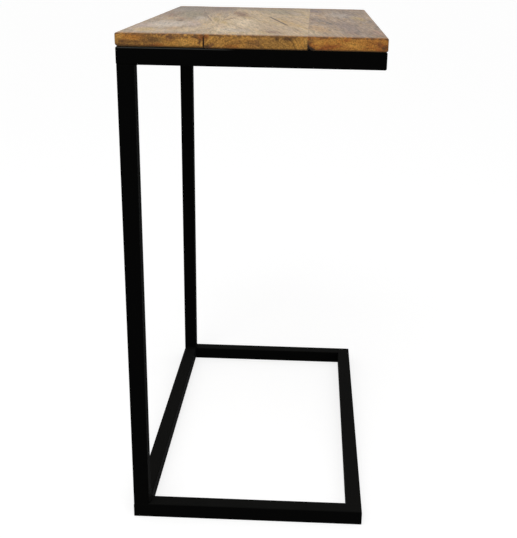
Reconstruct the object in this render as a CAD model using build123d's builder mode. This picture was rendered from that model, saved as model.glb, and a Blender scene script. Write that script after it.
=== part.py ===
from build123d import *
import os

os.makedirs("parts", exist_ok=True)

# C shaped side table. Lengths in mm, +Z up, origin on the floor under the middle of the table.
# X runs from the posts (-X) to the open side (+X), Y from the front (-Y) to the back (+Y).

# ---------------------------------------------------------------- driving sizes
frame_reach = 300.0  # X, over the tubes, from the posts to the open side
frame_length = 500.0  # Y, over the tubes, front to back
frame_height = 610.0  # floor to the top of the upper rails

tube_side = 20.0  # square hollow section
tube_wall = 1.5
tube_corner = 2.0  # outer corner radius of the section

board_thickness = 15.0
board_overhang = 1.0  # wood past the steel, all round
left_board_width = 99.0
middle_board_width = 114.0
top_arris = 1.5  # rounding of the upper edge round the top
joint_ease = 0.8  # small chamfer under each board joint
joint_bevel = 4.5  # waney lower edge of the right board, beside the middle one

tab_width = 30.0  # along the rail
tab_reach = 24.0  # from the rail towards the middle of the table
tab_thickness = 3.0
tab_drop = 3.0  # top of a tab below the top of the rail, so its screw pulls the board down
tab_corner = 5.0
tab_side_gap = 10.0  # outer tabs from the rails that they stand beside
slot_length = 10.0  # end to end, across the grain of the boards
screw_setback = 13.0  # screw line from the inner face of the rail

screw_diameter = 4.0
screw_length = 16.0  # under the head
screw_point = 3.0
screw_head_diameter = 8.0
screw_head_height = 2.6
screw_head_chamfer = 1.0
recess_width = 1.1
recess_span = 4.6
recess_depth = 1.3
slot_clearance = 0.5  # round the shank, across the slot
pilot_clearance = 0.05  # round the shank, in the wood

# ---------------------------------------------------------------- sizes that follow
half_reach = frame_reach / 2
half_length = frame_length / 2
half_tube = tube_side / 2
upper_level = frame_height - half_tube  # centre line of the upper rails
base_level = half_tube  # centre line of the base rails

top_reach = frame_reach + 2 * board_overhang
top_length = frame_length + 2 * board_overhang

tab_top = frame_height - tab_drop
tab_underside = tab_top - tab_thickness
rail_face = half_length - tube_side  # inner face of the front and back rails
screw_line = rail_face - screw_setback
pilot_radius = screw_diameter / 2 + pilot_clearance
pilot_depth = tab_underside + screw_length + pilot_clearance - frame_height


def finish(piece, name):
    """Label a piece and write its STEP file."""
    piece.label = name
    export_step(piece, f"parts/{name}.step")


def tube_section():
    """The square hollow section, drawn in the current sketch."""
    bore = tube_side - 2 * tube_wall
    RectangleRounded(tube_side, tube_side, tube_corner)
    RectangleRounded(bore, bore, tube_corner - tube_wall, mode=Mode.SUBTRACT)


# ---------------------------------------------------------------- mitred rails
def mitred_rail(name, start, end, inward, level):
    """A tube from one outer corner of a frame to the next, mitred at 45 degrees at both ends."""
    first = Vector(start[0], start[1], level)
    last = Vector(end[0], end[1], level)
    into = Vector(inward[0], inward[1], 0)
    run = last - first
    along = run.normalized()
    with BuildPart() as rail:
        with BuildSketch(Plane(first + into * half_tube, x_dir=into, z_dir=along)):
            tube_section()
        extrude(amount=run.length)
        split(bisect_by=Plane(first, z_dir=into - along), keep=Keep.BOTTOM)
        split(bisect_by=Plane(last, z_dir=into + along), keep=Keep.BOTTOM)
    finish(rail.part, name)


corner_front_post = (-half_reach, -half_length)
corner_front_open = (half_reach, -half_length)
corner_back_post = (-half_reach, half_length)
corner_back_open = (half_reach, half_length)

for frame_name, level in (("top", upper_level), ("base", base_level)):
    mitred_rail(f"{frame_name}_rail_front", corner_front_post, corner_front_open, (0, 1), level)
    mitred_rail(f"{frame_name}_rail_back", corner_back_post, corner_back_open, (0, -1), level)
    mitred_rail(f"{frame_name}_rail_post_side", corner_front_post, corner_back_post, (1, 0), level)
    mitred_rail(f"{frame_name}_rail_open_side", corner_front_open, corner_back_open, (-1, 0), level)

# ---------------------------------------------------------------- posts
# Square-cut tubes that stand on the base frame's corners and carry the upper frame's corners.
post_height = frame_height - 2 * tube_side

for end_name, side in (("front", -1), ("back", 1)):
    foot = (half_tube - half_reach, side * (half_length - half_tube), tube_side)
    with BuildPart() as post:
        with BuildSketch(Plane(foot)):
            tube_section()
        extrude(amount=post_height)
    finish(post.part, f"post_{end_name}")


# ---------------------------------------------------------------- boards of the top
joint_left = left_board_width - top_reach / 2
joint_right = joint_left + middle_board_width
outer_tab = half_reach - tube_side - tab_side_gap - tab_width / 2

# The screw line of each board, across the table, where its two tabs stand.
screw_columns = {"left": -outer_tab, "middle": (joint_left + joint_right) / 2, "right": outer_tab}


def board(place, left, right, left_chamfer, right_chamfer):
    """A board that runs front to back, from x = left to x = right, with pilot holes under both ends.

    A chamfer is the size of the lower edge at a joint; 0 marks an outer side, whose upper edge is rounded.
    """
    with BuildPart() as plank:
        with BuildSketch(Plane.XY.offset(frame_height)):
            with Locations(((left + right) / 2, 0)):
                Rectangle(right - left, top_length)
        extrude(amount=board_thickness)
        upper_edges = plank.faces().sort_by(Axis.Z)[-1].edges()
        rounded = upper_edges.filter_by(Axis.X)
        sides = upper_edges.filter_by(Axis.Y).sort_by(Axis.X)
        if left_chamfer == 0:
            rounded.append(sides[0])
        if right_chamfer == 0:
            rounded.append(sides[-1])
        fillet(rounded, radius=top_arris)
        lower_sides = plank.faces().sort_by(Axis.Z)[0].edges().filter_by(Axis.Y).sort_by(Axis.X)
        if left_chamfer > 0:
            chamfer(lower_sides[0], length=left_chamfer)
        if right_chamfer > 0:
            chamfer(lower_sides[-1], length=right_chamfer)
        for side in (-1, 1):
            pilot = Plane((screw_columns[place], side * screw_line, frame_height), z_dir=(0, 0, -1))
            with Locations(pilot):
                Hole(radius=pilot_radius, depth=pilot_depth)
    finish(plank.part, f"board_{place}")


board("left", -top_reach / 2, joint_left, 0, joint_ease)
board("middle", joint_left, joint_right, joint_ease, joint_ease)
board("right", joint_right, top_reach / 2, joint_bevel, 0)

# ---------------------------------------------------------------- fixing tabs
# Flat bars welded to the inner face of the front and back rails, one under each end of each board.
slot_width = screw_diameter + 2 * slot_clearance

for end_name, side in (("front", -1), ("back", 1)):
    for place, column in screw_columns.items():
        tab_centre = (column, side * (rail_face - tab_reach / 2))
        with BuildPart() as tab:
            with BuildSketch(Plane.XY.offset(tab_underside)):
                with Locations(tab_centre):
                    Rectangle(tab_width, tab_reach)
                free_corners = vertices().group_by(Axis.Y)[-1 if side < 0 else 0]
                fillet(free_corners, radius=tab_corner)
                with Locations((column, side * screw_line)):
                    SlotOverall(slot_length, slot_width, mode=Mode.SUBTRACT)
            extrude(amount=tab_thickness)
        finish(tab.part, f"fixing_tab_{end_name}_{place}")

# ---------------------------------------------------------------- screws
# Pan-head wood screws, head down under the tab, one for each tab.
with BuildPart() as screw:
    with BuildSketch(Plane.XZ):
        with BuildLine():
            Polyline(
                (0, -screw_head_height),
                (screw_head_diameter / 2, -screw_head_height),
                (screw_head_diameter / 2, 0),
                (screw_diameter / 2, 0),
                (screw_diameter / 2, screw_length - screw_point),
                (0, screw_length),
                close=True,
            )
        make_face()
    revolve(axis=Axis.Z)
    head_rim = screw.edges().filter_by(GeomType.CIRCLE).group_by(Axis.Z)[0]
    chamfer(head_rim, length=screw_head_chamfer)
    with BuildSketch(Plane.XY.offset(-screw_head_height)):
        Rectangle(recess_span, recess_width)
        Rectangle(recess_width, recess_span)
    extrude(amount=recess_depth, mode=Mode.SUBTRACT)

screw_places = [
    (column, side * screw_line, tab_underside) for side in (-1, 1) for column in screw_columns.values()
]
with BuildPart() as fixing_screws:
    with Locations(*screw_places):
        add(screw.part)
finish(fixing_screws.part, "fixing_screws")
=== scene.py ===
import math

import bmesh
import bpy
from mathutils import Matrix, Vector, noise


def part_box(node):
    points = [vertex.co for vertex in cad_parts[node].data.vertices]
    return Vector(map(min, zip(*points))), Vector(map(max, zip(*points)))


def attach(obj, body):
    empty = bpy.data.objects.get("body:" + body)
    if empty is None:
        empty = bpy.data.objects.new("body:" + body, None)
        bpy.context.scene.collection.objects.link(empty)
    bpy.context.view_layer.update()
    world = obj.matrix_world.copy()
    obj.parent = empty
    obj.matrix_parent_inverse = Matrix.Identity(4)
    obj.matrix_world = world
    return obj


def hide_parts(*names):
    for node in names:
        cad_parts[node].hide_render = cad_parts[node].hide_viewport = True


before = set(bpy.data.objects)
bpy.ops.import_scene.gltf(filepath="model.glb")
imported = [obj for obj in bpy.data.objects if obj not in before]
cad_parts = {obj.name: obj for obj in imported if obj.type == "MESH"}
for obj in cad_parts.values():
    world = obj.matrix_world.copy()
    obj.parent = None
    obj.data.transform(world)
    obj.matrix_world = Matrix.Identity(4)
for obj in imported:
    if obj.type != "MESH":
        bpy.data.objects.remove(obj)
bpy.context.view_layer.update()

MM = 0.001
X_AXIS, Y_AXIS, Z_AXIS = range(3)

# ---------------------------------------------------------------- sizes read from the frame
TUBE_NODES = [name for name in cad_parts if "_rail_" in name or name.startswith("post_")]
TAB_NODES = [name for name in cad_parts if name.startswith("fixing_tab_")]

rail_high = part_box("top_rail_front")[1]
back_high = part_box("post_back")[1]
post_low, post_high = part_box("post_front")
board_low, board_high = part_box("board_left")

# In millimetres, from the middle of the table or from the floor.
FRAME_SIDE = rail_high.x / MM
FRAME_END = back_high.y / MM
FRAME_HEIGHT = rail_high.z / MM
TUBE = (post_high.x - post_low.x) / MM  # the side of the square tube
TOP_AT = board_high.z / MM
BOARD_FOOT = board_low.z / MM
BOARD_END = -board_low.y / MM
LEFT_JOINT = board_high.x / MM


# ---------------------------------------------------------------- camera
CAMERA_PLACE = Vector((67.9, -1229.7, 712.5)) * MM
CAMERA_DOWN = math.radians(18.49)
CAMERA_TURN = math.radians(1.89)  # towards the posts
CAMERA_ROLL = math.radians(1.07)
CAMERA_LENS = 58.72
CAMERA_SENSOR = 36.0
CAMERA_SHIFT = (-0.039, -0.045)
LEVEL = math.radians(90)  # a new camera looks straight down


def make_camera():
    """In front of the table, right of its middle and a little above the top."""
    data = bpy.data.cameras.new("camera")
    data.lens = CAMERA_LENS
    data.sensor_width = CAMERA_SENSOR
    data.shift_x, data.shift_y = CAMERA_SHIFT
    camera = bpy.data.objects.new("camera", data)
    bpy.context.scene.collection.objects.link(camera)
    turn = Matrix.Rotation(CAMERA_TURN, 4, "Z")
    tilt = Matrix.Rotation(LEVEL - CAMERA_DOWN, 4, "X")
    roll = Matrix.Rotation(CAMERA_ROLL, 4, "Z")
    camera.matrix_world = Matrix.Translation(CAMERA_PLACE) @ turn @ tilt @ roll
    bpy.context.scene.camera = camera


make_camera()


# ---------------------------------------------------------------- shader writing
def paint(red, green, blue):
    """A colour as a screen shows it, 0 to 255, in the linear values that shaders take."""

    def linear(level):
        level /= 255
        return level / 12.92 if level <= 0.04045 else ((level + 0.055) / 1.055) ** 2.4

    return (linear(red), linear(green), linear(blue), 1.0)


class Value:
    """A number or colour that varies over a surface, so that maths on it reads as Python."""

    def __init__(self, finish, socket):
        self.finish = finish
        self.socket = socket

    def maths(self, operation, *values):
        return self.finish.node("Math", {"operation": operation}, dict(enumerate(values)))

    def __add__(self, other):
        return self.maths("ADD", self, other)

    def __sub__(self, other):
        return self.maths("SUBTRACT", self, other)

    def __mul__(self, other):
        return self.maths("MULTIPLY", self, other)

    def __truediv__(self, other):
        return self.maths("DIVIDE", self, other)

    def __pow__(self, other):
        return self.maths("POWER", self, other)

    def __rsub__(self, other):
        return self.maths("SUBTRACT", other, self)

    def __neg__(self):
        return self.maths("MULTIPLY", self, -1.0)

    def __abs__(self):
        return self.maths("ABSOLUTE", self)

    __radd__ = __add__
    __rmul__ = __mul__

    def rising(self, low, high):
        """0 below low, 1 above high, and smooth between them; the other way round if low is larger."""
        sockets = {"Value": self, "From Min": low, "From Max": high}
        return self.finish.node("MapRange", {"interpolation_type": "SMOOTHSTEP"}, sockets)


class Finish:
    """A material, or the world's, under construction."""

    def __init__(self, owner):
        self.owner = owner
        owner.use_nodes = True
        self.tree = owner.node_tree
        self.tree.nodes.clear()

    def feed(self, socket, value):
        if isinstance(value, Value):
            self.tree.links.new(value.socket, socket)
        else:
            socket.default_value = value

    def node(self, kind, settings=None, sockets=None, output=0):
        """Adds a shader node: its settings first, then the values or links of its sockets."""
        made = self.tree.nodes.new("ShaderNode" + kind)
        for key, value in (settings or {}).items():
            if key == "stops":
                self.set_stops(made.color_ramp, value)
            else:
                setattr(made, key, value)
        for key, value in (sockets or {}).items():
            self.feed(made.inputs[key], value)
        return Value(self, made.outputs[output]) if made.outputs else None

    @staticmethod
    def set_stops(ramp, stops):
        while len(ramp.elements) < len(stops):
            ramp.elements.new(1.0)
        for element, (position, colour) in zip(ramp.elements, stops):
            element.position = position
            element.color = colour

    def place(self):
        """The point on the piece, in millimetres in the table's frame."""
        point = self.node("TexCoord", output="Object")
        return self.node("VectorMath", {"operation": "SCALE"}, {0: point, "Scale": 1 / MM})

    def split(self, vector):
        parts = self.node("SeparateXYZ", sockets={0: vector})
        return [Value(self, socket) for socket in parts.socket.node.outputs]

    def join(self, x, y, z):
        return self.node("CombineXYZ", sockets={0: x, 1: y, 2: z})

    def cloud(self, vector, size, detail=2.0, roughness=0.5, shift=(0, 0, 0)):
        """Soft noise, about 0.5, in features of the given size along each axis."""
        sizes = tuple(1 / value for value in size)
        sockets = {"Vector": vector, "Scale": sizes, "Location": shift}
        scaled = self.node("Mapping", sockets=sockets)
        sockets = {"Vector": scaled, "Scale": 1.0, "Detail": detail, "Roughness": roughness}
        return self.node("TexNoise", sockets=sockets)

    def mix(self, first, second, factor):
        return self.node("Mix", {"data_type": "RGBA"}, {0: factor, 6: first, 7: second}, output=2)

    def shade(self, colour, factor):
        """The colour multiplied by a number that varies."""
        settings = {"data_type": "RGBA", "blend_type": "MULTIPLY"}
        sockets = {0: 1.0, 6: colour, 7: self.join(factor, factor, factor)}
        return self.node("Mix", settings, sockets, output=2)

    def ramp(self, stops, factor):
        return self.node("ValToRGB", {"stops": stops}, {"Fac": factor})

    def bump(self, height, distance, strength):
        sockets = {"Height": height, "Distance": distance, "Strength": strength}
        return self.node("Bump", sockets=sockets)

    def surface(self, **sockets):
        """Closes the material with a Principled shader."""
        named = {key.replace("_", " "): value for key, value in sockets.items()}
        return self.close(self.node("BsdfPrincipled", sockets=named))

    def close(self, shader, kind="OutputMaterial"):
        self.node(kind, sockets={"Surface": shader})
        return self.owner


# ---------------------------------------------------------------- finishes of the metal
COAT_BLACK = paint(4, 4, 4)
COAT_DUSTY = paint(10, 10, 9)
COAT_THIN = paint(18, 18, 17)
# the colour of a painted highlight on the front rail's upper edge
COAT_HIGHLIGHT = paint(60, 60, 58)
DUST = paint(19, 19, 18)
ZINC_DULL = paint(166, 168, 170)
ZINC_BRIGHT = paint(205, 204, 196)


WELD_LINE = (1.0, 0.4)  # the line of a weld fades out, and is full, at these distances
WELD_GROUND = (6.0, 1.0)  # and so does the band that the grinder touched
CLEAR_OF_WELD = 8  # added to the distance where there is no weld, to keep clear of the band
HIGHLIGHT_RUN = (-16, -34)  # the painted highlight starts, and is full, at these x, and runs on to the posts


def weld_lines(x, y, z, waver):
    """The lines of the ground welds, and the bands ground along them: mitres across the rails'
    corners, and butts where the posts meet the rails."""
    from_side = FRAME_SIDE - abs(x)
    from_end = FRAME_END - abs(y)
    from_middle = abs(z - FRAME_HEIGHT / 2)
    post_end = FRAME_HEIGHT / 2 - TUBE
    in_corner = from_side.rising(TUBE + 1, TUBE) * from_end.rising(TUBE + 1, TUBE)
    in_rail = from_middle.rising(post_end - 0.2, post_end + 0.2)
    mitre = abs(from_side - from_end) + CLEAR_OF_WELD * (1 - in_corner) + CLEAR_OF_WELD * (1 - in_rail)
    butt = abs(from_middle - post_end) + CLEAR_OF_WELD * (1 - in_corner)
    seam = (mitre + waver).rising(*WELD_LINE) + (butt + waver).rising(*WELD_LINE)
    ground = mitre.rising(*WELD_GROUND) + butt.rising(*WELD_GROUND)
    return seam, ground


def painted_edge_highlight(x, y, z):
    """Rises along a stretch of the upper front edge, where a highlight is painted into the coat."""
    below_top = FRAME_HEIGHT - z
    on_edge = below_top.rising(1.9, 1.5) * below_top.rising(0.5, 0.9)
    at_front = (-y).rising(FRAME_END - 1.1, FRAME_END - 0.7)
    return 0.9 * (on_edge * at_front) * x.rising(*HIGHLIGHT_RUN)


def black_powder_coat():
    """Satin black powder coat with a fine orange peel, dust where it faces up, and the ground
    welds showing faintly under it. A highlight is painted along part of the front rail's upper edge."""
    coat = Finish(bpy.data.materials.new("black_powder_coat"))
    place = coat.place()
    x, y, z = coat.split(place)
    peel = coat.cloud(place, (1.5, 1.5, 1.5), detail=2.0)
    grit = coat.cloud(place, (0.35, 0.35, 0.35), detail=1.0, shift=(7, 3, 1))
    dulling = coat.cloud(place, (60, 60, 60), detail=3.0, roughness=0.6)
    handling = coat.cloud(place, (9, 9, 26), detail=4.0, roughness=0.65, shift=(2, 9, 4))
    handling = handling.rising(0.60, 0.78)
    grinding = coat.cloud(place, (5, 5, 5), detail=2.0, shift=(1, 4, 9))
    waver = 0.8 * coat.cloud(place, (2.5, 2.5, 2.5), detail=2.0)
    seam, ground = weld_lines(x, y, z, waver)
    facing_up = coat.split(coat.node("TexCoord", output="Normal"))[Z_AXIS]
    dust = facing_up.rising(0.3, 1.0) * (0.5 + 0.8 * dulling)

    colour = coat.mix(COAT_BLACK, COAT_DUSTY, 0.5 * dulling + 0.5 * handling)
    colour = coat.mix(colour, COAT_THIN, 0.5 * seam)
    colour = coat.mix(colour, DUST, dust)
    # painted highlight along the front rail's upper edge, near the posts
    colour = coat.mix(colour, COAT_HIGHLIGHT, painted_edge_highlight(x, y, z))
    height = peel + 0.25 * grit + 2.5 * ground * grinding - 1.5 * seam
    return coat.surface(
        Base_Color=colour,
        Roughness=0.82 + 0.10 * dulling + 0.05 * handling,
        Specular_IOR_Level=0.018,
        Normal=coat.bump(height, 0.00004, 0.6),
    )


def zinc_plate():
    """Bright zinc on the screws, with fine turning marks and a dull bloom."""
    zinc = Finish(bpy.data.materials.new("zinc_plated_steel"))
    place = zinc.place()
    bloom = zinc.cloud(place, (2.5, 2.5, 2.5), detail=3.0)
    marks = zinc.cloud(place, (3.0, 3.0, 0.12), detail=1.0)
    return zinc.surface(
        Base_Color=zinc.mix(ZINC_DULL, ZINC_BRIGHT, bloom),
        Metallic=1.0,
        Roughness=0.30 + 0.2 * bloom,
        Normal=zinc.bump(marks, 0.00003, 0.5),
    )


# ---------------------------------------------------------------- colours of the wood
IVORY = paint(214, 192, 160)
CREAM = paint(190, 166, 130)
SAND = paint(174, 149, 117)
LILAC = paint(176, 155, 143)
ASH = paint(190, 178, 166)
TAN = paint(170, 128, 74)
STRAW = paint(178, 150, 92)
ROSE = paint(160, 122, 98)
ROSE_BROWN = paint(124, 88, 62)
MAUVE = paint(120, 100, 92)
SLATE = paint(126, 116, 108)
MOSS = paint(136, 124, 100)
GREY_TAN = paint(134, 114, 95)
DUN = paint(158, 134, 108)
PALE_DUN = paint(166, 145, 120)
BARK = paint(88, 66, 46)
BLACKENED = paint(26, 16, 10)
HONEY = paint(166, 122, 64)

END_DEEP = paint(74, 46, 24)
END_SHADE = paint(92, 62, 34)
END_BROWN = paint(128, 86, 48)
END_OLIVE = paint(162, 118, 56)
END_GOLD = paint(180, 127, 56)
END_OCHRE = paint(194, 146, 74)
END_AMBER = paint(178, 118, 48)
END_RUST = paint(150, 86, 36)
END_PALE = paint(206, 150, 68)
RAW_WOOD = paint(190, 160, 116)
SOAKED_TONES = [(0.0, END_SHADE), (0.4, END_BROWN), (1.0, END_GOLD)]


# ---------------------------------------------------------------- finish of the boards
def oval(x, y, centre, reach, ragged):
    """1 in the middle of an oval mark, falling to 0 at its reach with a ragged edge."""
    across = (x - centre[0]) / reach[0]
    along = (y - centre[1]) / reach[1]
    distance = (across * across + along * along) ** 0.5 + ragged
    return distance.rising(1.15, 0.15)


def slit(x, y, start, end, half_width, waver):
    """1 along the middle of a thin line that tapers out at both ends."""
    run = Vector(end) - Vector(start)
    length = run.length
    way = run / length
    along = (x - start[0]) * way.x + (y - start[1]) * way.y
    across = (x - start[0]) * way.y - (y - start[1]) * way.x + waver
    tapered = along.rising(0, 0.25 * length) * along.rising(length, 0.75 * length)
    return abs(across).rising(half_width, 0.2 * half_width) * tapered


VEIN_WAVER = 5  # how much veins, and checks, stray from straight lines
CHECK_WAVER = 1.6
CHECK_CORE = 0.42  # the share of a check's width that is open and dark
OIL_REACH = 26  # how much further oil draws in from the ends along some fibres


class MangoWood(Finish):
    """Sanded and oiled mango wood. The patterns of its growth are drawn first, and then serve the
    face, the end grain and the raw underside. All lengths are in millimetres."""

    def __init__(self, name, seed, slant, heart, swell):
        super().__init__(bpy.data.materials.new(name))
        self.seed = seed
        self.shift = (seed, 3 * seed, 7 * seed)
        self.slant = slant
        self.here = self.place()
        self.x, self.y, self.z = self.split(self.here)
        self.fibre_x = self.x - slant * self.y  # where the fibre here crosses the table's middle
        self.grain = self.join(self.fibre_x, self.y, self.z)
        self.facing_y, self.facing_z = self.split(self.node("TexCoord", output="Normal"))[Y_AXIS:]
        self.draw_fibres()
        self.draw_rings(heart, swell)

    def along_grain(self, size, shift=None, **settings):
        """Soft noise in features that follow the fibres."""
        return self.cloud(self.grain, size, shift=shift or self.shift, **settings)

    def draw_fibres(self):
        """What follows the fibres, from blotches down to pores, and the specks that don't."""
        seed = self.seed
        self.ripple = self.along_grain((8, 55, 8), detail=2.0) - 0.5
        self.ragged = 1.3 * self.along_grain((6, 40, 6), detail=5.0, roughness=0.65) - 0.65
        self.mottle = self.along_grain((9, 60, 9), (seed + 4, seed, 2), detail=6.0, roughness=0.72)
        self.streaks = self.along_grain((2.6, 48, 2.6), (seed + 9, 2, seed), detail=3.0, roughness=0.6)
        self.golden = self.along_grain((4.0, 34, 4.0), (2, seed, seed + 5), detail=4.0, roughness=0.65)
        self.fibre = self.along_grain((0.8, 45, 0.8), detail=3.0, roughness=0.6)
        self.flecks = self.along_grain((2.6, 24, 2.6), (seed, 6, 2), detail=3.0, roughness=0.65)
        self.pores = self.along_grain((0.45, 9, 0.45), detail=1.0).rising(0.60, 0.68)
        self.speckle = self.cloud(self.here, (1.6, 1.6, 1.6), detail=4.0, roughness=0.75, shift=self.shift)

    def draw_rings(self, heart, swell):
        """Growth rings, as noise on the distance from the heart."""
        from_swell = self.y - swell[0]
        depth = heart[1] + swell[1] * from_swell * from_swell + swell[2] * self.y
        off_side = self.fibre_x - (heart[0] + self.slant * BOARD_END)
        off_below = self.z - TOP_AT + depth
        from_heart = (off_side * off_side + off_below * off_below) ** 0.5
        wander = self.along_grain((30, 150, 30), detail=3.0) - 0.5
        self.ring = from_heart + 13 * wander + 2.0 * self.ripple
        in_ring = self.join(self.ring, 0.003 * self.y, self.seed)
        self.growth = self.cloud(in_ring, (6.5, 1, 1), detail=3.0, roughness=0.55)
        self.late_wood = self.cloud(in_ring, (1.7, 1, 1), detail=2.0, roughness=0.6, shift=(5, 0, 0))
        lines = self.cloud(in_ring, (5.0, 1, 1), detail=2.0, shift=(0, 0, 4))
        self.ring_lines = abs(lines - 0.5).rising(0.045, 0.01)

    def face_colour(self, tones, stains, veins, figure):
        """The sanded face: broad tones, stains and veins, shaded by the rings and the fibres."""
        broad = self.along_grain((42, 230, 42), (1, self.seed, self.seed), detail=3.0).rising(0.34, 0.66)
        face = self.ramp(tones, 0.65 * broad + 0.35 * self.growth.rising(0.3, 0.7))
        face = self.shade(face, 0.70 + 0.60 * self.mottle)
        face = self.mix(face, TAN, 0.42 * self.golden.rising(0.50, 0.66))
        face = self.mix(face, LILAC, 0.55 * self.golden.rising(0.48, 0.34))
        for colour, amount, centre, reach in stains:
            middle = (centre[0] - self.slant * centre[1], centre[1])
            face = self.mix(face, colour, amount * oval(self.fibre_x, self.y, middle, reach, self.ragged))
        for colour, amount, start, end, half_width in veins:
            waver = VEIN_WAVER * (self.ripple + 0.5 * self.ragged)
            vein = slit(self.x, self.y, start, end, half_width, waver)
            face = self.mix(face, colour, amount * vein)
        rings = 0.50 * (self.growth - 0.5) + 0.30 * (self.late_wood - 0.5)
        rings = rings - 0.18 * self.ring_lines * self.flecks.rising(0.60, 0.40)
        fibres = 0.60 * (self.streaks - 0.5) + 1.20 * (self.flecks - 0.5) + 0.50 * (self.fibre - 0.5)
        face = self.shade(face, 1.0 + rings + figure * fibres)
        return self.shade(face, (1 - 0.45 * self.pores) * (0.89 + 0.28 * self.speckle))

    def open_checks(self, face, checks):
        """Splits the face along its checks, and gives the new face and where the splits are."""
        splits = 0.0
        for start, end, half_width in checks:
            waver = CHECK_WAVER * (self.mottle - 0.5)
            core = slit(self.x, self.y, start, end, CHECK_CORE * half_width, waver)
            face = self.mix(face, BARK, 0.75 * slit(self.x, self.y, start, end, half_width, waver))
            face = self.mix(face, BLACKENED, 0.9 * core)
            splits = splits + core
        return face, splits

    def soak_ends(self, face):
        """Darkens the face by the ends, where oil was drawn in along the fibres."""
        reach = OIL_REACH * self.along_grain((2.2, 30, 2.2), detail=3.0, roughness=0.6)
        from_end = BOARD_END - abs(self.y) - reach
        soaked = self.ramp(SOAKED_TONES, self.streaks.rising(0.34, 0.66))
        return self.mix(face, soaked, 0.8 * from_end.rising(5, -10))

    def end_colour(self, tones, marks, dark_rings, notch_shadow):
        """The end grain: rings, patches of oil, marks, vessels, painted shade at the foot, and a painted
        shadow by a notch if any.
        """
        above_foot = self.z - BOARD_FOOT
        ragged = 1.4 * self.cloud(self.here, (5, 60, 4), detail=4.0, roughness=0.65, shift=self.shift) - 0.7
        patch = self.cloud(self.here, (16, 300, 8), detail=4.0, roughness=0.65, shift=(2 * self.seed, 1, 5))
        end = self.ramp(tones, 0.45 * self.growth.rising(0.36, 0.64) + 0.55 * patch.rising(0.39, 0.61))
        for colour, amount, centre, reach in marks:
            end = self.mix(end, colour, amount * oval(self.x, above_foot, centre, reach, ragged))
        for radius, half_width, amount in dark_rings:
            off_ring = abs(self.ring - radius + half_width * self.ragged)
            end = self.mix(end, END_DEEP, amount * off_ring.rising(half_width, 0.3 * half_width))
        end = self.shade(end, 0.60 + 0.82 * self.speckle.rising(0.34, 0.66))
        end = self.shade(end, 1 - 0.15 * self.late_wood.rising(0.56, 0.74) - 0.26 * self.ring_lines)
        cells = self.join(self.x / 1.1, 0.02 * self.y, self.z / 0.9)
        vessels = self.node("TexVoronoi", {"feature": "F1"}, {"Vector": cells, "Scale": 1.0})
        end = self.shade(end, 1 - 0.45 * vessels.rising(0.34, 0.16) * patch.rising(0.30, 0.50))
        # painted shade along the foot of the end grain, over the rail
        end = self.mix(end, END_DEEP, 0.8 * above_foot.rising(2.2, 0.4))
        # painted shadow of a bevelled notch, darkest towards its corner
        if notch_shadow is not None:
            corner, reach = notch_shadow
            beyond = (self.x - corner[0]) / reach[0] + (above_foot - corner[1]) / reach[1] + 0.25 * ragged
            end = self.mix(end, BLACKENED, 0.97 * beyond.rising(1.05, 0.6))
        return end

    def underside(self, colour, off_joint):
        """Raw, sawn wood where the board faces down, with a dark line at the joint if there is one."""
        facing_down = self.facing_z.rising(-0.3, -0.9)
        sawn = self.join(0.02 * self.x, self.y + 0.35 * self.x, self.seed)
        saw_marks = self.cloud(sawn, (1, 5, 1), detail=2.0)
        raw = self.shade(RAW_WOOD, 0.45 + 0.5 * self.mottle + 0.5 * self.streaks + 0.25 * saw_marks)
        colour = self.mix(colour, raw, 0.7 * facing_down)
        if off_joint is not None:
            colour = self.mix(colour, BARK, 0.7 * off_joint.rising(1.3, 0.5) * facing_down)
        return colour

    def rub_edges(self, colour):
        """Darkens the rounded upper edges in stretches, most of all at the ends."""
        rounded = self.facing_z.rising(0.05, 0.35) * self.facing_z.rising(0.99, 0.80)
        worn = self.cloud(self.here, (5, 5, 30), detail=3.0, shift=self.shift).rising(0.38, 0.56)
        at_end = 0.25 + 0.75 * abs(self.facing_y).rising(0.1, 0.4)
        return self.mix(colour, END_SHADE, 0.85 * (rounded * worn) * at_end)


def mango_board(
    name, seed, slant, heart, swell, tones, stains, ends, end_marks,
    figure=1.0, dark_rings=(), veins=(), checks=(), knots=(), joint=None, notch_shadow=None,
):
    """The wood of one board. The fibres run along it, off by the slant, and the growth rings centre
    on the heart: x at the near end, and depth under the face. The heart lies deeper by swell[1]
    for each square millimetre away from swell[0] along the board, and by swell[2] for each
    millimetre along it. Tones and ends are the ramps of the face and of the end grain, figure is
    the strength of the fine grain, and joint is the x of a side that is glued with a dark line."""
    wood = MangoWood(name, seed, slant, heart, swell)
    face = wood.face_colour(tones, stains, veins, figure)
    face, splits = wood.open_checks(face, checks)
    for centre, reach in knots:
        face = wood.mix(face, BARK, 0.9 * oval(wood.x, wood.y, centre, reach, 0.6 * wood.ragged))
    face = wood.soak_ends(face)
    end = wood.end_colour(ends, end_marks, dark_rings, notch_shadow)
    off_joint = None
    if joint is not None:
        off_joint = abs(wood.x - joint) + 0.6 * (wood.speckle - 0.5)
        open_below = 0.96 - 0.45 * wood.z.rising(TOP_AT - 6, TOP_AT - 2)
        end = wood.mix(end, BLACKENED, open_below * off_joint.rising(1.25, 0.7))
        face = wood.mix(face, BARK, 0.2 * off_joint.rising(0.9, 0.3))

    bands = wood.along_grain((9, 110, 2.4), detail=4.0, roughness=0.6)
    long_edge = wood.shade(wood.mix(face, HONEY, 0.45), 0.62 + 0.70 * bands)
    colour = wood.mix(long_edge, face, wood.facing_z.rising(0.30, 0.90))
    colour = wood.underside(colour, off_joint)
    end_grain = abs(wood.facing_y).rising(0.30, 0.75)
    colour = wood.rub_edges(wood.mix(colour, end, end_grain))
    height = 0.6 * wood.fibre + 0.5 * wood.late_wood - 1.1 * wood.pores + 0.5 * wood.speckle - 3.0 * splits
    return wood.surface(
        Base_Color=colour,
        Roughness=0.55 + 0.10 * wood.ragged + 0.10 * end_grain + 0.10 * wood.pores,
        Specular_IOR_Level=0.25,
        Normal=wood.bump(height, 0.00012, 0.6),
    )
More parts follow.
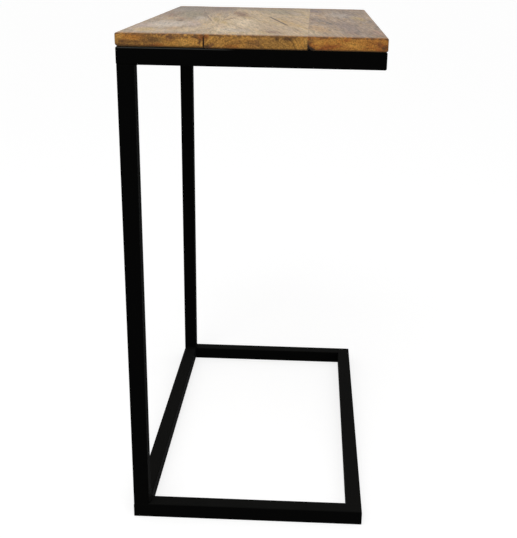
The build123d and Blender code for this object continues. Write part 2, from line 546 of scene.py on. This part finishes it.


# ---------------------------------------------------------------- the three boards' own marks
# Marks on the face are placed by x and y. Marks on the end grain are placed by x and by the height
# over the board's foot.
#   stains      colour, amount, middle, reach
#   veins       colour, amount, start, end, half width
#   checks      start, end, half width
#   knots       middle, reach
#   end_marks   colour, amount, middle, reach
#   dark_rings  radius about the heart, half width, amount
#   notch_shadow corner, reach of a painted shadow
LEFT_BOARD = dict(
    seed=3.0,
    slant=-0.10,
    heart=(-100, 60),
    swell=(50, 0.0004, 0.0),
    figure=0.8,
    tones=[(0.0, GREY_TAN), (0.5, PALE_DUN), (1.0, CREAM)],
    stains=[
        # this stain and the broad slate one two lines down are partly the wood's grey tone, partly painted
        # shade where the light falls off at the far end
        (GREY_TAN, 0.85, (-100, 260), (90, 210)),
        (SLATE, 0.75, (-135, 190), (40, 120)),
        (SLATE, 0.35, (-100, 255), (90, 150)),
        (MOSS, 0.8, (-104, 60), (26, 110)),
        (MAUVE, 0.8, (-76, 200), (24, 60)),
        (MAUVE, 0.5, (-146, 60), (14, 90)),
        (ASH, 0.75, (-114, -118), (36, 68)),
        (LILAC, 0.7, (-136, -150), (14, 60)),
        (TAN, 0.5, (-95, -175), (13, 30)),
        (STRAW, 0.6, (-126, -195), (14, 34)),
        (TAN, 0.6, (-67, 60), (5, 45)),
        (CREAM, 0.9, (-54, -50), (14, 160)),
        (CREAM, 0.75, (-78, -195), (22, 46)),
        (ASH, 0.4, (-86, -5), (11, 50)),
        (STRAW, 0.4, (-58, -45), (5, 50)),
        (LILAC, 0.6, (-80, -110), (12, 60)),
        (STRAW, 0.6, (-64, -30), (8, 60)),
        (ROSE, 0.6, (-132, 35), (6, 40)),
    ],
    veins=[
        (MAUVE, 0.7, (-92, 90), (-58, -90), 1.8),
        (CREAM, 0.9, (-88, 80), (-55, -90), 2.0),
        (ROSE, 0.5, (-122, 20), (-100, -50), 5.0),
    ],
    knots=[((-105, -58), (5, 18))],
    ends=[(0.0, END_SHADE), (0.30, END_BROWN), (0.58, END_GOLD), (1.0, END_OCHRE)],
    end_marks=[
        (END_SHADE, 0.6, (-140, 2), (26, 7)),
        (END_AMBER, 1.0, (-130, 10.5), (18, 5)),
        (END_DEEP, 0.5, (-128, 6), (22, 1.6)),
        (END_SHADE, 0.8, (-109, 8), (17, 7)),
        (END_RUST, 0.7, (-100, 2), (14, 4)),
        (END_PALE, 0.8, (-72, 7), (18, 6)),
        (END_GOLD, 0.8, (-84, 4), (14, 5)),
        (END_OCHRE, 0.6, (-74, 4), (10, 6)),
        (END_SHADE, 0.8, (-61, 12), (7, 2.2)),
        (END_SHADE, 0.9, (-56, 8), (3.0, 6)),
        (END_RUST, 1.0, (-54, 13), (6, 5)),
        (END_PALE, 0.9, (-54.4, 4), (1.6, 4)),
    ],
    joint=LEFT_JOINT,
)

MIDDLE_BOARD = dict(
    seed=11.0,
    slant=-0.20,
    heart=(-6, 58),
    swell=(0, -0.00008, 0.05),
    figure=1.0,
    tones=[(0.0, SAND), (0.5, CREAM), (1.0, STRAW)],
    stains=[
        # partly the wood's grey tone, partly painted shade where the light falls off at the far end
        (GREY_TAN, 0.80, (0, 270), (90, 150)),
        (SLATE, 0.7, (-35, 215), (26, 50)),
        (MOSS, 0.7, (20, 140), (32, 90)),
        (ROSE_BROWN, 0.75, (-36, 75), (13, 80)),
        (ROSE, 0.6, (-36, -5), (9, 50)),
        (STRAW, 0.5, (-21, 15), (8, 40)),
        (CREAM, 0.95, (-18, -60), (22, 125)),
        (IVORY, 0.95, (-18, -80), (24, 95)),
        (IVORY, 0.8, (-40, -150), (17, 85)),
        (ASH, 0.5, (-24, -190), (24, 34)),
        (ROSE, 0.4, (-46, -130), (9, 50)),
        (TAN, 0.35, (36, -60), (18, 90)),
        (DUN, 0.6, (18, -150), (30, 130)),
        (DUN, 0.4, (40, 0), (22, 80)),
        (LILAC, 0.5, (43, 115), (14, 65)),
        (ROSE_BROWN, 0.6, (22, -205), (15, 22)),
        (GREY_TAN, 0.6, (30, 120), (6, 50)),
        (CREAM, 0.7, (52, 170), (8, 80)),
    ],
    veins=[
        (ROSE_BROWN, 0.7, (-41, 8), (-51, -46), 3.0),
        (ROSE_BROWN, 0.6, (-28, 110), (-40, 20), 4.0),
        (ROSE_BROWN, 0.5, (-43, 150), (-48, 60), 3.0),
    ],
    checks=[((1, 68), (39, -122), 3.3)],
    ends=[(0.0, END_BROWN), (0.28, END_OLIVE), (0.60, END_GOLD), (1.0, END_OCHRE)],
    end_marks=[
        (END_PALE, 0.7, (-44, 11), (11, 5)),
        (END_BROWN, 0.45, (1, 6), (9, 9)),
        (END_GOLD, 0.6, (-16, 6), (12, 7)),
        (END_OLIVE, 0.9, (32, 6), (26, 9)),
        (END_PALE, 0.5, (50, 6), (12, 7)),
        (END_RUST, 0.6, (-22, 2.5), (12, 3)),
        (END_DEEP, 0.8, (29, 12.5), (3.5, 4)),
        (END_DEEP, 0.8, (41, 12), (8, 3.5)),
        (END_RUST, 1.0, (-50, 13), (6, 5)),
        (BLACKENED, 0.85, (-48.2, 1.2), (3.8, 3.6)),
    ],
    dark_rings=[(60, 1.2, 0.6)],
    joint=LEFT_JOINT,
)

RIGHT_BOARD = dict(
    seed=23.0,
    slant=-0.12,
    heart=(104, 72),
    swell=(-60, 0.0002, -0.03),
    figure=1.7,
    tones=[(0.0, MAUVE), (0.38, GREY_TAN), (1.0, DUN)],
    stains=[
        # partly the wood's grey tone, partly painted shade where the light falls off at the far end
        (GREY_TAN, 0.6, (105, 240), (60, 190)),
        (MAUVE, 0.9, (68, 185), (14, 60)),
        (ASH, 0.35, (106, 100), (26, 80)),
        (SLATE, 0.7, (70, -5), (9, 45)),
        (MAUVE, 0.9, (112, -110), (20, 110)),
        (MAUVE, 0.8, (115, -190), (14, 50)),
        (ROSE_BROWN, 0.5, (114, -200), (12, 40)),
        (ROSE_BROWN, 0.55, (136, -195), (12, 50)),
        (STRAW, 0.6, (130, 38), (13, 55)),
        (GREY_TAN, 0.4, (118, -150), (50, 130)),
        (SAND, 0.6, (78, -150), (20, 80)),
        (CREAM, 0.7, (69, -200), (13, 56)),
        (TAN, 0.5, (76, -150), (16, 70)),
        (ROSE_BROWN, 0.6, (67, 0), (5, 40)),
        (ROSE, 0.7, (146, -190), (8, 60)),
        (BARK, 0.5, (129, -45), (3, 16)),
    ],
    ends=[(0.0, END_SHADE), (0.25, END_RUST), (0.60, END_AMBER), (1.0, END_GOLD)],
    end_marks=[
        (END_PALE, 0.6, (72, 10), (9, 5)),
        (END_RUST, 0.7, (84, 4), (10, 5)),
        (END_PALE, 0.6, (112, 6), (18, 5)),
        (END_AMBER, 0.8, (128, 11), (17, 7)),
        (END_RUST, 0.8, (142, 6), (7, 7)),
        (END_SHADE, 0.9, (145, 3.5), (3.5, 3)),
        (END_SHADE, 0.5, (141, 9), (2.5, 5)),
        # painted shade at the foot of the bevelled joint
        (BLACKENED, 0.9, (62, 3), (2.2, 6)),
    ],
    dark_rings=[(70, 1.0, 0.5), (64, 0.8, 0.4)],
    # painted shadow of the bevelled notch under the left joint
    notch_shadow=((62, 0), (13, 9)),
)


# ---------------------------------------------------------------- finish of the glue
def glue_painted_dark():
    """Brown wood glue, squeezed out of a joint; its dark colour is painted shade for the inside of the
    groove.
    """
    glue = Finish(bpy.data.materials.new("glue_painted_dark"))
    place = glue.place()
    lumps = glue.cloud(place, (3, 14, 3), detail=3.0)
    return glue.surface(
        Base_Color=glue.mix(END_SHADE, BARK, lumps),
        Roughness=0.45 + 0.3 * lumps,
        Normal=glue.bump(lumps, 0.0004, 0.6),
    )


# ---------------------------------------------------------------- mesh helpers
TOUCHING = 1e-6


def finished_piece(name, mesh, material, crease=35):
    """Turns a bmesh into a smooth-shaded piece that rides on the table."""
    bmesh.ops.recalc_face_normals(mesh, faces=mesh.faces)
    for face in mesh.faces:
        face.smooth = True
    for edge in mesh.edges:
        edge.smooth = edge.is_manifold and edge.calc_face_angle(0.0) < math.radians(crease)
    data = bpy.data.meshes.new(name)
    mesh.to_mesh(data)
    mesh.free()
    data.materials.append(material)
    piece = bpy.data.objects.new(name, data)
    bpy.context.scene.collection.objects.link(piece)
    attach(piece, "root")
    return piece


def block(low, high):
    """A mesh of one box between two corners."""
    mesh = bmesh.new()
    bmesh.ops.create_cube(mesh, size=1.0)
    bmesh.ops.scale(mesh, vec=high - low, verts=mesh.verts)
    bmesh.ops.translate(mesh, vec=(low + high) / 2, verts=mesh.verts)
    return mesh


def edges_where(mesh, test):
    """The edges whose two ends both pass the test."""
    return [edge for edge in mesh.edges if all(test(vertex.co) for vertex in edge.verts)]


def bevel(mesh, edges, size, segments):
    """Rounds edges, or with one segment cuts them flat."""
    bmesh.ops.bevel(
        mesh, geom=edges, offset=size, affect="EDGES", segments=segments, profile=0.5, material=-1
    )


def near(value, wanted, within=TOUCHING):
    return abs(value - wanted) < within


def slice_mesh(mesh, axis, low, high, step):
    """Cuts the mesh into slices across an axis, so that its surface can be shaped."""
    count = int((high - low) / step)
    normal = Vector([1.0 if index == axis else 0.0 for index in range(3)])
    for index in range(1, count):
        point = normal * (low + (high - low) * index / count)
        everything = mesh.verts[:] + mesh.edges[:] + mesh.faces[:]
        bmesh.ops.bisect_plane(mesh, geom=everything, plane_co=point, plane_no=normal, dist=TOUCHING)


# ---------------------------------------------------------------- boards
CORNER = 4.0 * MM
CORNER_SEGMENTS = 5
TOP_ARRIS = 2.0 * MM
LEFT_LOWER_ARRIS = 3.4 * MM
LOWER_ARRIS = 1.2 * MM
ARRIS_SEGMENTS = 4
SHARP = math.radians(60)
JOINT_EASE = 0.9 * MM
JOINT_ZONE = 3.0 * MM  # an eased edge's ends are this near the end of the board
JOINT_BEVEL = 4.5 * MM
SLICE_ACROSS = 6 * MM
SLICE_ALONG = 8 * MM
HAND_SANDING = 0.35 * MM
ARRIS_ZONE = 2.0 * MM
END_WAVES = 28  # the unevenness of each sanded side: the larger, the shorter its waves
EDGE_WAVES = 45
FACE_WAVES = 55
SIDE_APART = 7.3  # keeps the waves of one side off those of the next


def sand_by_hand(mesh, low, high, sanded_sides):
    """Takes up to a few tenths of a millimetre off the outer faces, never adding any."""
    for vertex in mesh.verts:
        for axis, side, waves in sanded_sides:
            face_at = high[axis] if side > 0 else low[axis]
            if abs(face_at - vertex.co[axis]) < ARRIS_ZONE:
                way = Vector([side if index == axis else 0.0 for index in range(3)])
                taken = 0.5 + 0.5 * noise.noise(vertex.co * waves + way * SIDE_APART)
                vertex.co -= way * HAND_SANDING * taken


def round_corners(mesh, high, sides):
    """Rounds the upright edges at the board's outer corners."""
    corners = []
    for x, joint in sides:
        if joint is None:
            corners += edges_where(mesh, lambda co: near(co.x, x) and near(abs(co.y), high.y))
    corners = [edge for edge in corners if not near(edge.verts[0].co.z, edge.verts[1].co.z)]
    if corners:
        bevel(mesh, corners, CORNER, CORNER_SEGMENTS)


def round_rim(mesh, level, size, sides):
    """Rounds the edges round a face, apart from those along a joint."""
    rim = edges_where(mesh, lambda co: near(co.z, level))
    rim = [edge for edge in rim if edge.calc_face_angle(0.0) > SHARP]
    for x, joint in sides:
        if joint:
            rim = [edge for edge in rim if not all(near(vertex.co.x, x) for vertex in edge.verts)]
    bevel(mesh, rim, size, ARRIS_SEGMENTS)


def make_board(node, finish, lower_arris, left_joint=None, right_joint=None):
    """A board with rounded outer corners and arrises. A joint is eased at the ends of the board,
    bevelled along its lower edge, or tight; None is an outer side."""
    low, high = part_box(node)
    mesh = block(low, high)
    sides = ((low.x, left_joint), (high.x, right_joint))
    round_corners(mesh, high, sides)
    if left_joint == "bevelled":
        lower_edge = edges_where(mesh, lambda co: near(co.x, low.x) and near(co.z, low.z))
        bevel(mesh, lower_edge, JOINT_BEVEL, 1)
    round_rim(mesh, low.z, lower_arris, sides)
    round_rim(mesh, high.z, TOP_ARRIS, sides)
    for x, joint in sides:
        if joint == "eased":
            for y in (low.y, high.y):
                ends = edges_where(mesh, lambda co: near(co.x, x) and near(co.y, y, JOINT_ZONE))
                bevel(mesh, ends, JOINT_EASE, 1)

    slice_mesh(mesh, X_AXIS, low.x, high.x, SLICE_ACROSS)
    slice_mesh(mesh, Y_AXIS, low.y, high.y, SLICE_ALONG)
    sanded = [(Y_AXIS, -1, END_WAVES), (Y_AXIS, 1, END_WAVES), (Z_AXIS, 1, FACE_WAVES)]
    if left_joint is None:
        sanded.append((X_AXIS, -1, EDGE_WAVES))
    if right_joint is None:
        sanded.append((X_AXIS, 1, EDGE_WAVES))
    sand_by_hand(mesh, low, high, sanded)
    piece = finished_piece(node + "_wood", mesh, finish)
    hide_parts(node)


left_wood = mango_board("mango_left", **LEFT_BOARD)
make_board("board_left", left_wood, LEFT_LOWER_ARRIS, right_joint="eased")
middle_wood = mango_board("mango_middle", **MIDDLE_BOARD)
make_board("board_middle", middle_wood, LOWER_ARRIS, left_joint="eased", right_joint="tight")
right_wood = mango_board("mango_right", **RIGHT_BOARD)
make_board("board_right", right_wood, LOWER_ARRIS, left_joint="bevelled")


GLUE_CLEAR = 0.1 * MM
GLUE_END_GAP = 7 * MM
GLUE_CUT = 0.97  # the share of the glue's side that is cut away, to make a wedge of it


def make_joint_glue():
    """Hardened glue in the bevel under the right joint, a little short of the boards' ends. Its dark colour
    stands in for the groove's shade.
    """
    low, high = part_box("board_right")
    side = JOINT_BEVEL - 2 * GLUE_CLEAR
    start = Vector((low.x, low.y + GLUE_END_GAP, low.z + GLUE_CLEAR))
    end = Vector((low.x + side, high.y - GLUE_END_GAP, low.z + GLUE_CLEAR + side))
    mesh = block(start, end)
    outer_edge = edges_where(mesh, lambda co: near(co.x, end.x) and near(co.z, end.z))
    bevel(mesh, outer_edge, GLUE_CUT * side, 1)
    finished_piece("joint_glue", mesh, glue_painted_dark())


make_joint_glue()


# ---------------------------------------------------------------- frame finish
powder = black_powder_coat()
for tube_node in TUBE_NODES + TAB_NODES:
    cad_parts[tube_node].material_slots[0].material = powder
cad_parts["fixing_screws"].material_slots[0].material = zinc_plate()


# ---------------------------------------------------------------- welds
BEAD_STEP = 1.5 * MM
FOOT_BEAD = 2.0 * MM
CORNER_BEAD = 1.6 * MM
BEAD_SIDES = 8
BEAD_TIP = 0.55  # the radius at a bead's ends and in its ripples, as shares of the full one
BEAD_DIP = 0.86
BEAD_BACK_OFF = 3 * MM  # a bead ends this short of the tube's far side


def lay_bead(mesh, start, end, radius):
    """A rippled weld bead along an inner corner, half sunk in the tubes."""
    run = end - start
    count = int(run.length / BEAD_STEP)
    turn = run.to_track_quat("Z", "Y").to_matrix().to_4x4()
    made = bmesh.ops.create_circle(
        mesh,
        cap_ends=True,
        radius=BEAD_TIP * radius,
        segments=BEAD_SIDES,
        matrix=Matrix.Translation(start) @ turn,
    )
    ring = list({edge for vertex in made["verts"] for edge in vertex.link_edges})
    width = BEAD_TIP
    for index in range(1, count + 1):
        wanted = 1.0 if index % 2 else BEAD_DIP
        if index == count:
            wanted = BEAD_TIP
        grown = bmesh.ops.extrude_edge_only(mesh, edges=ring)["geom"]
        verts = [item for item in grown if isinstance(item, bmesh.types.BMVert)]
        ring = [item for item in grown if isinstance(item, bmesh.types.BMEdge)]
        bmesh.ops.translate(mesh, vec=run / count, verts=verts)
        to_centre = Matrix.Translation(-(start + run * index / count))
        bmesh.ops.scale(mesh, vec=Vector((1, 1, 1)) * wanted / width, verts=verts, space=to_centre)
        width = wanted
    bmesh.ops.edgeloop_fill(mesh, edges=ring)


def make_welds():
    """Fillets where the posts stand on and under the rails, and in the rectangles' inner corners."""
    mesh = bmesh.new()
    side, end, height, tube = (value * MM for value in (FRAME_SIDE, FRAME_END, FRAME_HEIGHT, TUBE))
    foot_run = tube - BEAD_BACK_OFF
    for level in (tube, height - tube):
        for way in (-1, 1):
            corner = Vector((-side + tube, way * (end - tube), level))
            lay_bead(mesh, corner, corner + Vector((0, way * foot_run, 0)), FOOT_BEAD)
            lay_bead(mesh, corner, corner + Vector((-foot_run, 0, 0)), FOOT_BEAD)
    corner_run = Vector((0, 0, tube - 2 * BEAD_BACK_OFF))
    for level in (0.0, height - tube):
        for way_x in (-1, 1):
            for way_y in (-1, 1):
                foot = Vector((way_x * (side - tube), way_y * (end - tube), level + BEAD_BACK_OFF))
                lay_bead(mesh, foot, foot + corner_run, CORNER_BEAD)
    finished_piece("weld_beads", mesh, powder, crease=80)


make_welds()


# ---------------------------------------------------------------- studio
FLOOR_WHITE = 0.42
FLOOR_GLOW = 0.74
FLOOR_REACH = 40.0
WORLD_LIGHT = 0.42


def seen_directly(finish):
    """1 for what the camera, a gloss or a clear piece sees, and 0 for light that falls on things."""
    rays = finish.node("LightPath").socket.node.outputs
    camera = Value(finish, rays["Is Camera Ray"])
    gloss = Value(finish, rays["Is Glossy Ray"])
    clear = Value(finish, rays["Is Transmission Ray"])
    return (camera + gloss + clear).rising(0.0, 0.5)


def pale_floor():
    """White floor that still takes the table's shadow."""
    floor = Finish(bpy.data.materials.new("pale_floor"))
    white = (FLOOR_WHITE, FLOOR_WHITE, FLOOR_WHITE, 1.0)
    diffuse = floor.node("BsdfDiffuse", sockets={"Color": white})
    glow = floor.node("Emission", sockets={"Strength": FLOOR_GLOW * seen_directly(floor)})
    return floor.close(floor.node("AddShader", sockets={0: diffuse, 1: glow}))


def make_floor():
    """A plain floor, wide enough to reach the horizon."""
    mesh = bmesh.new()
    bmesh.ops.create_grid(mesh, x_segments=1, y_segments=1, size=FLOOR_REACH)
    data = bpy.data.meshes.new("floor")
    mesh.to_mesh(data)
    mesh.free()
    data.materials.append(pale_floor())
    floor = bpy.data.objects.new("floor", data)
    bpy.context.scene.collection.objects.link(floor)


def make_world():
    """White where it is seen or mirrored, and softer as light."""
    world = bpy.data.worlds.new("studio")
    bpy.context.scene.world = world
    studio = Finish(world)
    strength = WORLD_LIGHT + (1 - WORLD_LIGHT) * seen_directly(studio)
    background = studio.node("Background", sockets={"Color": (1, 1, 1, 1), "Strength": strength})
    studio.close(background, "OutputWorld")


def make_sun(name, strength, spread, lean, turn):
    """A broad, far-off light. It leans from overhead towards the front, and is then turned about
    the table, to the right if the turn is positive. Its spread, lean and turn are in degrees."""
    data = bpy.data.lights.new(name, "SUN")
    data.energy = strength
    data.angle = math.radians(spread)
    lamp = bpy.data.objects.new(name, data)
    lamp.rotation_euler = (math.radians(lean), 0.0, math.radians(turn))
    bpy.context.scene.collection.objects.link(lamp)


def make_softbox(name, watts, side, place, target):
    """A square softbox near the table, whose light falls off towards the far end."""
    data = bpy.data.lights.new(name, "AREA")
    data.energy = watts
    data.size = side
    lamp = bpy.data.objects.new(name, data)
    lamp.location = place
    lamp.rotation_euler = (Vector(target) - Vector(place)).to_track_quat("-Z", "Y").to_euler()
    bpy.context.scene.collection.objects.link(lamp)


make_floor()
make_world()
make_sun("front_fill", strength=0.80, spread=90, lean=70, turn=15)
make_sun("right_back_fill", strength=0.30, spread=90, lean=75, turn=120)
make_sun("left_back_fill", strength=0.30, spread=90, lean=75, turn=-120)
make_softbox("near_softbox", watts=8.2, side=1.2, place=(-0.2, -0.9, 1.75), target=(0.0, -0.2, 0.62))

bpy.context.scene.view_settings.view_transform = "Standard"
